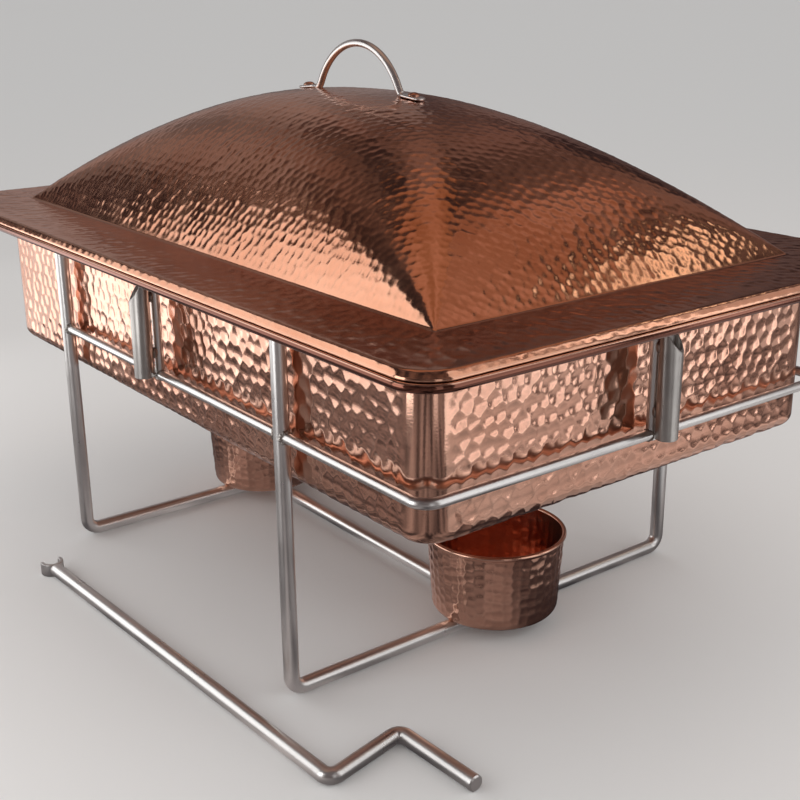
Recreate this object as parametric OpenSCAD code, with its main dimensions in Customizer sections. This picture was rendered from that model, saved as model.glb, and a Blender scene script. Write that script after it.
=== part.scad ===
// Rectangular chafing dish: a copper water pan, food pan and domed lid on a welded rod stand.
// The table is z = 0, the long sides run along X, and the origin is the middle of the whole set.

/* [Stand] */
// Diameter of the leg, base and lid holder rods
leg_rod_d = 9.5; // [8:0.1:10]
// Distance between the two leg frames, centre to centre
leg_span_x = 291; // [240:1:330]
// Centre line radius of the bend at each foot
foot_bend_r = 9; // [7:0.5:14]
// Diameter of the waist ring and post rods
ring_rod_d = 6; // [5:0.2:6.4]
// Height of the waist ring centre above the table
ring_z = 166.7; // [155:0.1:180]
// Gap between the water pan's long sides and the legs
leg_gap = 2.15; // [0.15:0.1:4]
// Gap between the water pan's right end and the ring
ring_end_gap = 5.5; // [4:0.5:12]
// Centre line radius of the ring's corners
ring_corner_r = 10; // [8:1:24]

/* [Lid holder sockets] */
// Outside diameter of a socket tube
socket_od = 12.7; // [12:0.1:14]
// Bore of a socket tube
socket_id = 10.3; // [10.1:0.1:10.8]
// Height of the tube's bottom end above the ring centre
socket_rise = 0.5; // [-6:0.5:2]
// Length of the full round part of the tube, below the bevel
socket_len = 50; // [44:1:58]
// Steepness of the bevel at the tube's mouth, in degrees
socket_bevel = 57; // [35:1:58]
// How far the low side of the bevel is turned away from the front right corner, in degrees
socket_turn = 20; // [0:5:40]
// Distance between the tube's centre and the centre of the post it is welded to
socket_standoff = 10.9; // [10.2:0.1:12]

/* [Water pan] */
// Outside length of the pan wall
pan_l = 527; // [460:1:540]
// Outside width of the pan wall
pan_w = 309; // [290:1:330]
// Depth from the flange top to the pan's underside
pan_depth = 104; // [90:1:112]
// Height of the flange top above the table
flange_z = 240; // [236:1:244]
// Overall length over the rolled edge
rim_l = 615; // [600:1:640]
// Overall width over the rolled edge
rim_w = 383; // [370:1:400]
// Diameter of the rolled edge
roll_d = 6; // [5:0.5:7]
// Diameter of the stiffening wire inside the rolled edge
wire_d = 3.4; // [2.6:0.1:3.4]
// Outside radius of the pan wall's upright corners
pan_corner_r = 17; // [12:1:28]
// Outside radius of the pan's bottom edge
pan_edge_r = 8; // [6:1:11]
// Centre line radius of the rolled edge's corners
rim_corner_r = 20; // [14:1:30]
// Thickness of the copper sheet
sheet_t = 1.2; // [1:0.1:1.5]

/* [Food pan] */
// Overall length of the food pan's rim
food_rim_l = 527; // [525:1:530]
// Overall width of the food pan's rim
food_rim_w = 324; // [322:1:326]
// Outside length of the food pan's body
food_l = 504; // [480:1:506]
// Outside width of the food pan's body
food_w = 300; // [280:1:302]
// Depth of the food pan
food_depth = 65; // [40:1:68]
// Thickness of the food pan's sheet
food_t = 1; // [0.8:0.1:1.2]
// Outside radius of the food pan's upright corners
food_corner_r = 44; // [30:1:60]
// Outside radius of the food pan's bottom edge
food_edge_r = 16; // [8:1:24]

/* [Lid] */
// Length of the dome where it meets the brim
dome_l = 505; // [470:1:520]
// Width of the dome where it meets the brim
dome_w = 277; // [250:1:290]
// Rise of the dome above the brim
dome_h = 90; // [70:1:100]
// How full the dome's profile is: 2 is a parabola
dome_power = 2.6; // [1.8:0.1:3]
// How soon the dome's loops turn from ovals to rectangles on the way down
dome_squareness = 3.1; // [2:0.1:6]
// Height of the brim's top above the pan flange
brim_rise = 6; // [5:0.5:8]
// How far the turned-down lip stands out from the brim
lip_out = 2.5; // [1.5:0.1:3]

/* [Lid handle] */
// Diameter of the handle rod
handle_rod_d = 5; // [4:0.5:6]
// Centre line radius of the arch
handle_r = 50; // [45:1:60]
// Height of the arch's centre line above its feet
handle_h = 29; // [26:1:40]
// Length of the flattened foot outside the arch
tab_l = 24; // [20:1:28]
// Width of the flattened foot
tab_w = 9; // [8:0.5:11]
// Thickness of the flattened foot
tab_t = 2.2; // [1.8:0.1:2.6]
// Where along the flattened foot its rivet goes, from the arch's end
rivet_share = 0.62; // [0.5:0.01:0.7]

/* [Fuel cups] */
// Outside radius of the cup's base
cup_base_r = 42; // [36:0.5:44]
// Outside radius of the cup wall at the rim
cup_top_r = 45; // [40:0.5:47]
// Height of the cup
cup_h = 55; // [45:1:60]
// Radius of the cup's rolled rim
cup_roll_r = 1.5; // [1:0.1:2]
// Outside radius of the cup's bottom edge
cup_edge_r = 5; // [3:0.5:8]

/* [Lid holder] */
// Length of the long leg
holder_leg = 326; // [280:1:340]
// Length of the sideways offset
holder_offset = 56.5; // [45:0.5:65]
// Length of the plug that drops into a socket
holder_plug = 63; // [50:1:70]
// Angle turned at each of the two bends
holder_bend = 99; // [90:1:105]
// Angle at which the holder lies on the table
holder_turn = 2.7; // [0:0.1:6]
// Distance of the holder's forked end in front of the stand's middle
holder_y = 208.7; // [204:0.1:230]
// Distance of the holder's forked end to the left of the stand's middle
holder_x = 93.6; // [80:0.1:110]

/* [Hidden] */
$fn = 64;
copper = [0.78, 0.45, 0.30];
steel = [0.74, 0.74, 0.76];
cut = 400;

leg_r = leg_rod_d / 2;
ring_r = ring_rod_d / 2;
leg_x = leg_span_x / 2;
pan_hx = pan_l / 2;
pan_hy = pan_w / 2;
leg_y = pan_hy + leg_gap + leg_r;
ring_x = pan_hx + ring_end_gap + ring_r;
flange_under = flange_z - sheet_t;
pan_z = flange_z - pan_depth;

roll_r = roll_d / 2;
rim_hx = rim_l / 2 - roll_r;
rim_hy = rim_w / 2 - roll_r;
roll_z = flange_z - roll_r / 2;
wire_gap = 0.05;

socket_r = socket_od / 2;
socket_z = ring_z + socket_rise;
weld_out = 1.6;
weld_depth = 3;
weld_run = 2.2;
rail_weld_half_h = 0.65 * leg_r;
rail_weld_depth = 2;
post_weld_out = 0.7;
post_weld_depth = 1.2;
socket_weld_r = 2.3;
socket_weld_heights = [14.5, 51.5];

brim_z = flange_z + brim_rise;
lid_gap = 0.05;
lip_z = roll_z + roll_r + lid_gap;
lip_inset = 1.3;
lip_hx = rim_l / 2 - lip_inset;
lip_hy = rim_w / 2 - lip_inset;
lip_corner_r = rim_corner_r + roll_r - lip_inset;
dome_rings = 14;
octant_n = 12;
loop_n = 8 * octant_n;
corner_crowding = 1.8;
squareness_power = 1.9;
sharpest = 400;

handle_rod_r = handle_rod_d / 2;
arch_end_x = sqrt(pow(handle_r, 2) - pow(handle_r - handle_h, 2));
rivet_x = arch_end_x + tab_l * rivet_share;
rivet_z = dome_height(rivet_x / (dome_l / 2));
foot_tilt = atan(dome_h * dome_power * pow(rivet_x / (dome_l / 2), dome_power - 1) / (dome_l / 2));
foot_gap = 0.05;
rivet_r = 2;
rivet_head_r = 4;
rivet_head_h = 2.5;
rivet_crown_r = 4.5;
rivet_flare = 0.8;
rivet_flare_h = 1;
washer_r = 6;
washer_t = 1;
washer_gap = 0.35;

holder_bend_r = 5.4;
offset_step = 0.12;
offset_overlap = 1;
plug_chamfer = 0.8;
fork_r = 8;
fork_wall = 2.6;
fork_h = 9;
fork_reach = 7.6;
fork_mouth = 0.35 * fork_r;

// The set reaches further in front, to the holder's fork, than behind, to the rim
set_front = holder_y + fork_reach * sin(holder_turn) + fork_r;
shift_y = (set_front - rim_w / 2) / 2;

// ---- shared shapes ----

// Moves a piece from the stand's own middle to the middle of the whole set
module placed() {
    translate([0, shift_y, 0]) children();
}

module rod_x(len, r) {
    rotate([0, 90, 0]) cylinder(h = len, r = r);
}

module rod_y(len, r) {
    rotate([-90, 0, 0]) cylinder(h = len, r = r);
}

// An arc of round rod in the XY plane, starting on +X and turning towards +Y
module bent_rod(bend_r, r, angle) {
    rotate_extrude(angle = angle, $fn = 96) translate([bend_r, 0]) circle(r = r, $fn = 48);
}

// A closed rectangular loop of round rod, with rounded corners, centred on the origin
module rod_loop(hx, hy, corner_r, r) {
    for (s = [-1, 1]) {
        translate([-(hx - corner_r), s * hy, 0]) rod_x(2 * (hx - corner_r), r);
        translate([s * hx, -(hy - corner_r), 0]) rod_y(2 * (hy - corner_r), r);
    }
    for (i = [0, 1], j = [0, 1]) {
        mirror([i, 0, 0]) mirror([0, j, 0])
            translate([hx - corner_r, hy - corner_r, 0]) bent_rod(corner_r, r, 90);
    }
}

// A flat rectangular plate with rounded corners, its underside at z = 0
module plate(hx, hy, corner_r, h) {
    translate([-hx, -(hy - corner_r), 0]) cube([2 * hx, 2 * (hy - corner_r), h]);
    translate([-(hx - corner_r), -hy, 0]) cube([2 * (hx - corner_r), 2 * hy, h]);
    for (i = [-1, 1], j = [-1, 1]) {
        translate([i * (hx - corner_r), j * (hy - corner_r), 0]) cylinder(h = h, r = corner_r);
    }
}

// Half of an upright section through a block with a rounded bottom edge
module half_section(half, edge_r, h) {
    translate([0, edge_r]) square([half, h - edge_r]);
    square([half - edge_r, h]);
    translate([half - edge_r, edge_r]) circle(r = edge_r);
}

// A rectangular block with rounded upright corners and a rounded bottom edge
module tray_block(hx, hy, corner_r, edge_r, h) {
    for (s = [0, 1]) {
        mirror([s, 0, 0]) rotate([90, 0, 0])
            linear_extrude(2 * (hy - corner_r), center = true) half_section(hx, edge_r, h);
        mirror([0, s, 0]) rotate([90, 0, 90])
            linear_extrude(2 * (hx - corner_r), center = true) half_section(hy, edge_r, h);
    }
    for (i = [-1, 1], j = [-1, 1]) {
        translate([i * (hx - corner_r), j * (hy - corner_r), 0])
            rotate_extrude() half_section(corner_r, edge_r, h);
    }
}

// A fillet of weld round the end of a rod of radius r that runs along +Z from z = 0,
// reaching back past the rod's end by depth
module weld_collar(r, out, depth) {
    rotate_extrude() polygon([[r, -depth], [r + out, -depth], [r + out, 0], [r, weld_run]]);
}

// ---- stand ----

// One leg and half of its cross rail, on the +Y side
module half_leg_frame() {
    translate([0, leg_y, leg_r + foot_bend_r])
        cylinder(h = flange_under - leg_r - foot_bend_r, r = leg_r);
    translate([0, leg_y - foot_bend_r, leg_r + foot_bend_r])
        mirror([0, 0, 1]) rotate([90, 0, 90]) bent_rod(foot_bend_r, leg_r, 90);
    translate([0, 0, leg_r]) rod_y(leg_y - foot_bend_r, leg_r);
}

module leg_frame(side) {
    color(steel) placed() translate([side * leg_x, 0, 0]) {
        half_leg_frame();
        mirror([0, 1, 0]) half_leg_frame();
    }
}

module base_rail() {
    color(steel) placed() translate([-(leg_x - leg_r), 0, leg_r]) rod_x(2 * (leg_x - leg_r), leg_r);
}

module leg_cut(sx, sy) {
    translate([sx * leg_x, sy * leg_y, 0]) cylinder(h = cut, r = leg_r);
}

module ring_rod_front(side) {
    color(steel) placed() difference() {
        translate([side > 0 ? ring_r : -leg_x, -leg_y, ring_z]) rod_x(leg_x - ring_r, ring_r);
        leg_cut(side, -1);
    }
}

module ring_rod_rear() {
    color(steel) placed() difference() {
        translate([-leg_x, leg_y, ring_z]) rod_x(2 * leg_x, ring_r);
        leg_cut(-1, 1);
        leg_cut(1, 1);
    }
}

// From a right-hand leg, round the corner and along the end to the end post
module ring_rod_end(side) {
    color(steel) placed() difference() {
        mirror([0, side < 0 ? 1 : 0, 0]) translate([0, 0, ring_z]) {
            translate([leg_x, leg_y, 0]) rod_x(ring_x - ring_corner_r - leg_x, ring_r);
            translate([ring_x - ring_corner_r, leg_y - ring_corner_r, 0])
                bent_rod(ring_corner_r, ring_r, 90);
            translate([ring_x, ring_r, 0]) rod_y(leg_y - ring_corner_r - ring_r, ring_r);
        }
        leg_cut(1, side);
    }
}

// Places a socket part: the post stands at the origin and the tube stands out along +X
module at_front_socket() {
    placed() translate([0, -leg_y, 0]) rotate([0, 0, -90]) children();
}

module at_end_socket() {
    placed() translate([ring_x, 0, 0]) children();
}

module socket_post() {
    color(steel) translate([0, 0, ring_z - ring_r])
        cylinder(h = flange_under - ring_z + ring_r, r = ring_r);
}

// The tube is cut off by a steep bevel whose low side faces away from the post
module socket_tube(turn) {
    low_z = socket_z + socket_len;
    color(steel) translate([socket_standoff, 0, 0]) difference() {
        translate([0, 0, socket_z]) cylinder(h = flange_under - socket_z, r = socket_r);
        translate([0, 0, socket_z - 1]) cylinder(h = cut, r = socket_id / 2);
        rotate([0, 0, turn]) translate([socket_r, 0, low_z]) rotate([0, socket_bevel, 0])
            translate([-cut / 2, -cut / 2, 0]) cube([cut, cut, cut / 2]);
    }
}

// A bead of weld that bridges the gap between the post and the tube
module socket_weld(z) {
    difference() {
        translate([0, 0, z]) rod_x(socket_standoff, socket_weld_r);
        cylinder(h = cut, r = ring_r);
        translate([socket_standoff, 0, 0]) cylinder(h = cut, r = socket_r);
    }
}

module socket_welds() {
    color(steel) for (h = socket_weld_heights) {
        at_front_socket() socket_weld(socket_z + h);
        at_end_socket() socket_weld(socket_z + h);
    }
}

module frame_welds() {
    color(steel) placed() {
        for (s = [0, 1]) {
            mirror([s, 0, 0]) rail_weld();
            mirror([0, s, 0]) ring_end_weld();
            mirror([s, 0, 0]) post_weld_front();
            mirror([0, s, 0]) post_weld_end();
        }
        for (i = [0, 1], j = [0, 1]) {
            mirror([i, 0, 0]) mirror([0, j, 0]) ring_side_weld();
        }
    }
}

// The two flanks of the joint between the base rail's end and a cross rail
module rail_weld() {
    difference() {
        translate([leg_x - leg_r, 0, leg_r]) rotate([0, -90, 0])
            weld_collar(leg_r, weld_out, rail_weld_depth);
        translate([leg_x, -leg_rod_d, leg_r]) rod_y(2 * leg_rod_d, leg_r);
        for (low = [rail_weld_half_h, -rail_weld_half_h - leg_rod_d]) {
            translate([0, -leg_rod_d, leg_r + low]) cube([leg_x, 2 * leg_rod_d, leg_rod_d]);
        }
    }
}

// Between a leg and the ring rod that runs along the side, on the +X +Y leg
module ring_side_weld() {
    difference() {
        translate([leg_x - leg_r, leg_y, ring_z]) rotate([0, -90, 0])
            weld_collar(ring_r, weld_out, weld_depth);
        leg_cut(1, 1);
    }
}

// Between a right-hand leg and the ring rod that runs round the corner, on the +Y side
module ring_end_weld() {
    difference() {
        translate([leg_x + leg_r, leg_y, ring_z]) rotate([0, 90, 0])
            weld_collar(ring_r, weld_out, weld_depth);
        leg_cut(1, 1);
    }
}

// Between the front post and the ring rod on its +X side
module post_weld_front() {
    difference() {
        translate([ring_r, -leg_y, ring_z]) rotate([0, 90, 0])
            weld_collar(ring_r, post_weld_out, post_weld_depth);
        translate([0, -leg_y, 0]) cylinder(h = cut, r = ring_r);
    }
}

// Between the end post and the ring rod on its +Y side
module post_weld_end() {
    difference() {
        translate([ring_x, ring_r, ring_z]) rotate([-90, 0, 0])
            weld_collar(ring_r, post_weld_out, post_weld_depth);
        translate([ring_x, 0, 0]) cylinder(h = cut, r = ring_r);
    }
}

// ---- pans ----

module water_pan() {
    color(copper) placed() difference() {
        union() {
            translate([0, 0, pan_z]) tray_block(pan_hx, pan_hy, pan_corner_r, pan_edge_r, pan_depth);
            translate([0, 0, flange_under]) plate(rim_hx, rim_hy, rim_corner_r, sheet_t);
            translate([0, 0, roll_z]) rod_loop(rim_hx, rim_hy, rim_corner_r, roll_r);
        }
        translate([0, 0, pan_z + sheet_t]) tray_block(
            pan_hx - sheet_t, pan_hy - sheet_t, pan_corner_r - sheet_t, pan_edge_r - sheet_t, pan_depth
        );
        translate([0, 0, roll_z]) rod_loop(rim_hx, rim_hy, rim_corner_r, wire_d / 2 + wire_gap);
    }
}

module water_pan_edge_wire() {
    color(steel) placed() translate([0, 0, roll_z]) rod_loop(rim_hx, rim_hy, rim_corner_r, wire_d / 2);
}

module food_pan() {
    color(steel) placed() difference() {
        translate([0, 0, flange_z + food_t - food_depth])
            tray_block(food_l / 2, food_w / 2, food_corner_r, food_edge_r, food_depth - food_t);
        translate([0, 0, flange_z + 2 * food_t - food_depth]) food_space();
    }
}

// The rim hangs on the water pan's flange
module food_pan_rim() {
    rim_r = food_corner_r + (food_rim_w - food_w) / 2;
    color(steel) placed() difference() {
        translate([0, 0, flange_z]) plate(food_rim_l / 2, food_rim_w / 2, rim_r, food_t);
        translate([0, 0, flange_z - food_depth / 2]) food_space();
    }
}

// The inside of the food pan, its floor at z = 0
module food_space() {
    tray_block(
        food_l / 2 - food_t, food_w / 2 - food_t,
        food_corner_r - food_t, food_edge_r - food_t, food_depth
    );
}

// ---- lid ----

// Height of the dome's outside at the fraction s of the way from its top to its base
function dome_height(s) = brim_z + dome_h * (1 - pow(s, dome_power));

// Angles round a loop, crowded towards the four corners
function octant_angle(i) = 45 * (1 - pow(1 - i / octant_n, corner_crowding));
function quadrant_angle(j) = j <= octant_n ? octant_angle(j) : 90 - octant_angle(2 * octant_n - j);
function loop_angle(k) =
    let (quadrant = floor(k / (2 * octant_n)))
    90 * quadrant + quadrant_angle(k - 2 * octant_n * quadrant);

// A point on a superellipse: exponent 2 is an ellipse, a high exponent is a rectangle
function superellipse(hx, hy, exponent, angle) =
    let (c = cos(angle), s = sin(angle), m = max(abs(c), abs(s)))
    let (reach = 1 / (m * pow(pow(abs(c) / m, exponent) + pow(abs(s) / m, exponent), 1 / exponent)))
    [hx * reach * c, hy * reach * s];

// Rounds the corner of a rectangle's outline
function soften(p, hx, hy, r) =
    let (dx = abs(p[0]) - (hx - r), dy = abs(p[1]) - (hy - r), d = norm([dx, dy]))
    (dx > 0 && dy > 0)
        ? [sign(p[0]) * (hx - r + r * dx / d), sign(p[1]) * (hy - r + r * dy / d)]
        : p;

// The dome's loops go from nearly round at the top to a sharp rectangle at the base
function dome_exponent(s) =
    let (t = pow(s, squareness_power))
    t < 1 ? min(sharpest, 2 + dome_squareness * t / (1 - t)) : sharpest;
function dome_loop(s, inset, drop) = [
    let (hx = s * (dome_l / 2 - inset), hy = s * (dome_w / 2 - inset))
    for (k = [0 : loop_n - 1])
        let (p = superellipse(hx, hy, dome_exponent(s), loop_angle(k)))
        [p[0], p[1], dome_height(s) - drop]
];
function brim_loop(hx, hy, r, z) = [
    for (k = [0 : loop_n - 1])
        let (p = soften(superellipse(hx, hy, sharpest, loop_angle(k)), hx, hy, r))
        [p[0], p[1], z]
];

// Triangles between loop number i and the next one
function band_faces(i) = [
    for (k = [0 : loop_n - 1])
        let (a = 1 + i * loop_n + k, b = 1 + i * loop_n + (k + 1) % loop_n)
        for (f = [[a, b, b + loop_n], [a, b + loop_n, a + loop_n]]) f
];

// The outside is followed down from the dome's top to the lip, and the inside back up again
module lid_sheet() {
    half_t = sheet_t / 2;
    loops = concat(
        [for (i = [1 : dome_rings]) dome_loop(i / dome_rings, 0, 0)],
        [
            brim_loop(lip_hx - lip_out, lip_hy - lip_out, lip_corner_r - lip_out, brim_z),
            brim_loop(lip_hx, lip_hy, lip_corner_r, lip_z),
            brim_loop(lip_hx - sheet_t, lip_hy - sheet_t, lip_corner_r - sheet_t, lip_z),
            brim_loop(
                lip_hx - lip_out - half_t, lip_hy - lip_out - half_t,
                lip_corner_r - lip_out - half_t, brim_z - sheet_t
            )
        ],
        [for (i = [dome_rings : -1 : 1]) dome_loop(i / dome_rings, half_t, sheet_t)]
    );
    points = concat(
        [[0, 0, dome_height(0)]],
        [for (loop = loops) for (p = loop) p],
        [[0, 0, dome_height(0) - sheet_t]]
    );
    last = len(points) - 1;
    first_of_last = last - loop_n;
    faces = concat(
        [for (k = [0 : loop_n - 1]) [0, 1 + (k + 1) % loop_n, 1 + k]],
        [for (i = [0 : len(loops) - 2]) for (f = band_faces(i)) f],
        [for (k = [0 : loop_n - 1]) [last, first_of_last + k, first_of_last + (k + 1) % loop_n]]
    );
    polyhedron(points = points, faces = faces);
}

// Puts a piece on the dome where a rivet goes, square to the sheet, with +X pointing outwards
module at_rivets() {
    for (s = [0, 1]) {
        mirror([s, 0, 0]) translate([rivet_x, 0, rivet_z]) rotate([0, foot_tilt, 0]) children();
    }
}

module lid_shell() {
    color(copper) placed() difference() {
        lid_sheet();
        at_rivets() cylinder(h = 4 * rivet_head_r, r = rivet_r, center = true);
    }
}

// An arch of round rod, flattened at both feet
module lid_handle() {
    foot_in = rivet_x - arch_end_x;
    arch_z = rivet_z + handle_rod_r + foot_in * sin(foot_tilt);
    half_angle = acos((handle_r - handle_h) / handle_r);
    color(steel) placed() difference() {
        union() {
            translate([0, 0, arch_z + handle_h - handle_r])
                rotate([90, 0, 0]) rotate([0, 0, 90 - half_angle])
                bent_rod(handle_r, handle_rod_r, 2 * half_angle);
            at_rivets() {
                translate([-foot_in, 0, handle_rod_r + 2 * foot_gap]) sphere(r = handle_rod_r);
                translate([-foot_in, -tab_w / 2, foot_gap]) cube([tab_l - tab_w / 2, tab_w, tab_t]);
                translate([tab_l - foot_in - tab_w / 2, 0, foot_gap]) cylinder(h = tab_t, r = tab_w / 2);
            }
        }
        at_rivets() cylinder(h = 4 * rivet_head_r, r = rivet_r, center = true);
    }
}

module handle_rivets() {
    tail_z = washer_z() - foot_gap;
    color(copper) placed() at_rivets() {
        translate([0, 0, tail_z]) cylinder(h = tab_t + 2 * foot_gap - tail_z, r = rivet_r);
        translate([0, 0, tail_z]) cylinder(h = rivet_flare_h, r1 = rivet_r, r2 = rivet_r + rivet_flare);
        translate([0, 0, tab_t + foot_gap]) intersection() {
            translate([0, 0, rivet_head_h - rivet_crown_r]) sphere(r = rivet_crown_r);
            cylinder(h = rivet_head_h, r = rivet_head_r);
        }
    }
}

module rivet_washers() {
    color(copper) placed() at_rivets() translate([0, 0, washer_z()]) difference() {
        cylinder(h = washer_t, r = washer_r);
        translate([0, 0, -washer_t]) cylinder(h = 3 * washer_t, r = rivet_r + rivet_flare);
    }
}

// Height of a washer's underside below the lid's outer surface
function washer_z() = -sheet_t - washer_gap - washer_t;

// ---- fuel cups ----

// Half section of the cup's outside, with a rounded bottom edge
module cup_half(base_r, top_r, edge_r, h) {
    lean = atan((top_r - base_r) / (h - edge_r));
    polygon(concat(
        [[0, 0]],
        [for (a = [-90 : 10 : -lean]) [base_r - edge_r + edge_r * cos(a), edge_r + edge_r * sin(a)]],
        [[top_r, h], [0, h]]
    ));
}

module fuel_cup(side) {
    color(copper) placed() translate([side * leg_x, 0, leg_rod_d]) rotate_extrude($fn = 96) {
        difference() {
            cup_half(cup_base_r, cup_top_r, cup_edge_r, cup_h);
            translate([0, sheet_t])
                cup_half(cup_base_r - sheet_t, cup_top_r - sheet_t, cup_edge_r - sheet_t, cup_h);
        }
        translate([cup_top_r, cup_h - cup_roll_r]) circle(r = cup_roll_r, $fn = 32);
    }
}

// ---- lid holder ----

// Puts a piece in the holder's own frame: the long leg runs along +X from the forked end
module at_holder() {
    placed() translate([-holder_x, -holder_y, leg_r]) rotate([0, 0, holder_turn]) children();
}

// The long leg's end is coped to fit round the fork
module holder_long_leg(len) {
    difference() {
        rod_x(len, leg_r);
        translate([-fork_reach, 0, 0]) cylinder(h = 2 * leg_rod_d, r = fork_r, center = true);
    }
}

// The offset is drawn slightly thinner than the bends and runs a little way into each of them
module lid_holder_rod() {
    offset_len = holder_offset - 2 * (holder_bend_r * tan(holder_bend / 2) - offset_overlap);
    tangent = holder_bend_r * tan(holder_bend / 2);
    plug_x = holder_leg + holder_offset * cos(holder_bend) + tangent;
    plug_y = holder_offset * sin(holder_bend);
    color(steel) at_holder() {
        holder_long_leg(holder_leg - tangent);
        translate([holder_leg - tangent, holder_bend_r, 0]) rotate([0, 0, -90])
            bent_rod(holder_bend_r, leg_r, holder_bend);
        translate([holder_leg, 0, 0]) rotate([0, 0, holder_bend])
            translate([tangent - offset_overlap, 0, 0])
            rod_x(offset_len, leg_r - offset_step);
        translate([plug_x, plug_y - holder_bend_r, 0]) rotate([0, 0, 90])
            bent_rod(holder_bend_r, leg_r, holder_bend);
        translate([plug_x, plug_y, 0]) holder_plug_end(holder_plug - tangent);
    }
}

module holder_plug_end(len) {
    rod_x(len - plug_chamfer, leg_r);
    translate([len - plug_chamfer, 0, 0]) rotate([0, 90, 0])
        cylinder(h = plug_chamfer, r1 = leg_r, r2 = leg_r - plug_chamfer);
}

// A short open collar that cradles the lid's handle or edge
module lid_holder_fork() {
    color(steel) at_holder() translate([-fork_reach, 0, 0]) difference() {
        cylinder(h = fork_h, r = fork_r, center = true);
        cylinder(h = cut, r = fork_r - fork_wall, center = true);
        translate([-cut - fork_mouth, -cut / 2, -cut / 2]) cube([cut, cut, cut]);
    }
}

// ---- output ----

leg_frame(-1);  // leg_frame_left
leg_frame(1);  // leg_frame_right
base_rail();
ring_rod_front(-1);  // ring_rod_front_left
ring_rod_front(1);  // ring_rod_front_right
ring_rod_end(-1);  // ring_rod_end_front
ring_rod_end(1);  // ring_rod_end_rear
ring_rod_rear();
at_front_socket() socket_post();  // socket_post_front
at_end_socket() socket_post();  // socket_post_end
at_front_socket() socket_tube(-socket_turn);  // socket_tube_front
at_end_socket() socket_tube(socket_turn);  // socket_tube_end
frame_welds();
socket_welds();
water_pan();
water_pan_edge_wire();
food_pan();
food_pan_rim();
lid_shell();
lid_handle();
handle_rivets();
rivet_washers();
fuel_cup(-1);  // fuel_cup_left
fuel_cup(1);  // fuel_cup_right
lid_holder_rod();
lid_holder_fork();
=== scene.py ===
"""Looks for a rectangular chafing dish: hammered copper pans, dome and cups on a satin steel rod stand.

Every length is in metres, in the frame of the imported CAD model. Places come from the CAD nodes' boxes.
"""

import math
from collections import namedtuple

import bmesh
import bpy
import numpy as np
from mathutils import Matrix, Vector
from mathutils.kdtree import KDTree


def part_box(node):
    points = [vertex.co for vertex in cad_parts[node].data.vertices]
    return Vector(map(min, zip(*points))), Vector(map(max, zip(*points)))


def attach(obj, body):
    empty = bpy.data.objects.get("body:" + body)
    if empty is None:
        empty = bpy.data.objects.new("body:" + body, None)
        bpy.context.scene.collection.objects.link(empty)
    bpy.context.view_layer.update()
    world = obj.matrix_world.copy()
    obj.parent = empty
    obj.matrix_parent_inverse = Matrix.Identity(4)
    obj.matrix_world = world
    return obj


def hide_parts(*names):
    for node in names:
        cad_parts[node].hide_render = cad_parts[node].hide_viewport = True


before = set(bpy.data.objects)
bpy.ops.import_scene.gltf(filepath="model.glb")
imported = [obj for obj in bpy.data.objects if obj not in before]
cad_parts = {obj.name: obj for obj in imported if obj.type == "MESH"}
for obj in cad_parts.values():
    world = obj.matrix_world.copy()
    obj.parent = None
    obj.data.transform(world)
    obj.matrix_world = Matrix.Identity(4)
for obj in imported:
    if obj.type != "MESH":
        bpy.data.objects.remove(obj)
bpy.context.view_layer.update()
MM = 0.001
TAU = 2 * math.pi

# ---- sizes that the CAD boxes don't hold ----

# Water pan: its hammer marks fade out round the corners.
SHEET = 1.2 * MM
PAN_STEPS = (300, 176, 16)
PAN_WALL_LOOPS = 70
PAN_WALL = (263.5 * MM, 154.5 * MM)
PAN_CORNER_R = 17 * MM
PAN_EDGE_R = 8 * MM
CORNER_BARE, CORNER_EASE = 12 * MM, 9 * MM
MARKS_BEYOND = 4 * MM
MARKS_DRAWN_IN = 160 * MM
ROLL_R = 3 * MM
ROLL_CORNER_R = 20 * MM

# Sockets: a bevelled tube, turned a little to one side.
SOCKET_BORE_R = 5.15 * MM
SOCKET_BEVEL = math.radians(57)
SOCKET_TURN = math.radians(20)
SOCKET_ROUND_LENGTH = 50 * MM
TUBE_SIDES = 72
TUBE_EASE = 0.35 * MM

# Lid: loops from ovals at the top of the dome to a rectangle at its base, then a brim and a turned-down lip.
DOME_BASE = (252.5 * MM, 138.5 * MM)
DOME_RISE = 90 * MM
DOME_POWER = 2.6
DOME_STEPS = (216, 128)
DOME_SQUARENESS = 3.1
SQUARENESS_POWER = 1.9
SHARPEST = 400
BRIM_ARC_STEPS = 24
BRIM_LOOPS = 21
LIP_OUT = 2.5 * MM
LIP_CORNER_R = 21.7 * MM

# Handle: an arched rod whose feet sweep out into flat tabs, with a rivet through each.
HANDLE_ROD_R = 2.5 * MM
HANDLE_R = 50 * MM
HANDLE_RISE = 29 * MM
ARCH_TURN = math.radians(61)
FOOT_SWEEP = 8.5 * MM
TAB_LENGTH, TAB_WIDTH, TAB_THICK = 24 * MM, 9 * MM, 2.2 * MM
TAB_GAP = 0.1 * MM
RIVET_SHARE = 0.62
RIVET_R = 2 * MM
HEAD_R, HEAD_RISE, HEAD_EDGE = 4 * MM, 2.2 * MM, 0.2 * MM

CUP_SIDES = 320
CUP_WALL_LOOPS = (44, 26)
CUP_BARE = 2.5 * MM
CUP_BASE_R = 42 * MM
CUP_TOP_R = 45 * MM
CUP_ROLL_R = 1.5 * MM
CUP_EDGE_R = 5 * MM

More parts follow.
